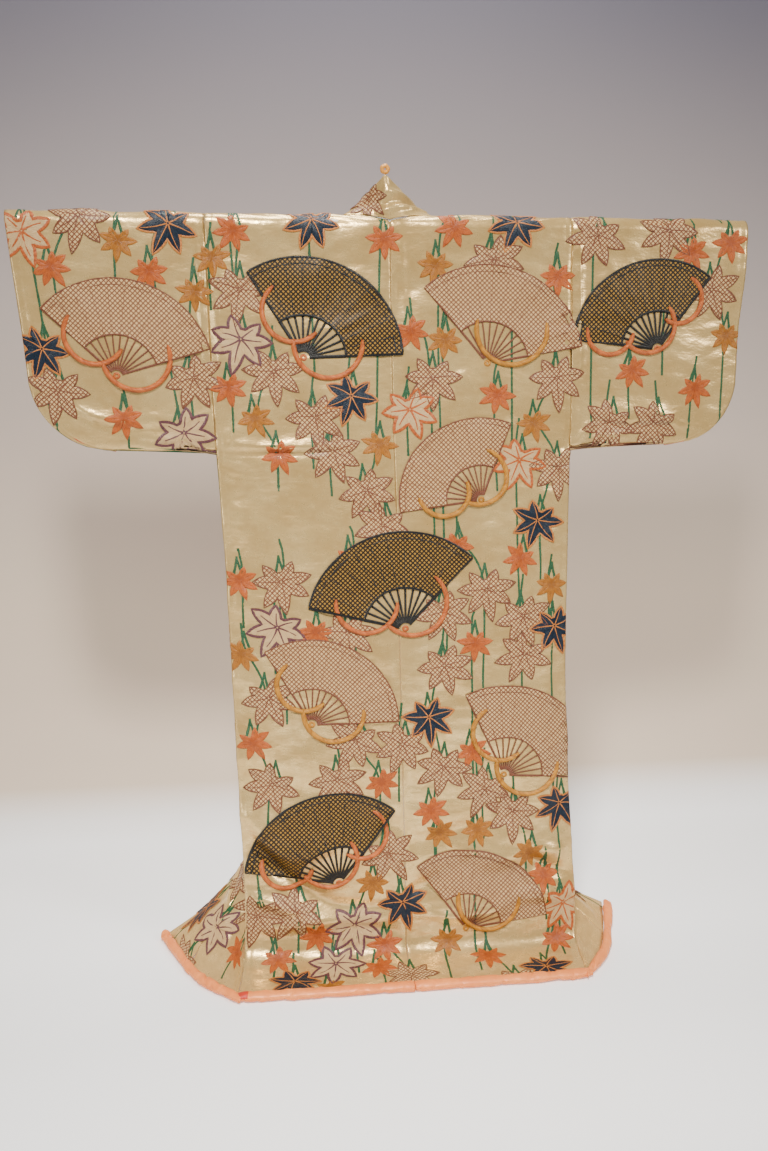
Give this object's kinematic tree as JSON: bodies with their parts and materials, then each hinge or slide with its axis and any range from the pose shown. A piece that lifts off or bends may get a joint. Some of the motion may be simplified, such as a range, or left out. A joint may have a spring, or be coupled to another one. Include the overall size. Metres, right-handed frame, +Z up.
{
  "type": "kimono on a t-bar display stand",
  "caption": "Wadded satin kimono with small sleeves and a padded hem, hung by its shoulders on a plain T-bar stand, with its hem spread on the floor.",
  "frame": {"origin": "bottom centre of the object's box, on the surface that the stand and the hem rest on", "axes": "+Z up, the garment's back faces -Y, its left side as seen from the back is at -X"},
  "size_m": [1.2514, 0.4208, 1.3801],
  "materials": {
    "satin": "lustrous ivory silk satin, dyed and embroidered",
    "hem_lining": "salmon silk, padded",
    "lining": "plain red-orange silk",
    "leaf_brown": "dyed dots and brown thread on satin",
    "leaf_orange": "satin stitch in orange and ochre silk",
    "leaf_navy": "satin stitch in navy silk, gold edged",
    "fan_black": "black lattice on old gold",
    "cord_silk": "couched silk cord",
    "stem_green": "green silk thread",
    "gold_silk": "gold-yellow silk",
    "stand": "satin off-white paint"
  },
  "bodies": {
    "root": {"body_left": "satin", "body_right": "satin", "okumi_left": "satin", "okumi_right": "satin", "sleeve_left": "satin", "sleeve_right": "satin", "collar": "satin", "hem_roll_back_left": "hem_lining", "hem_roll_front_left": "hem_lining", "hem_roll_okumi_left": "hem_lining", "hem_roll_back_right": "hem_lining", "hem_roll_front_right": "hem_lining", "hem_roll_okumi_right": "hem_lining", "collar_loop": "gold_silk", "stand_base": "stand", "stand_post": "stand", "stand_crossbar": "stand", "stand_peg": "stand"}
  },
  "joints": []
}
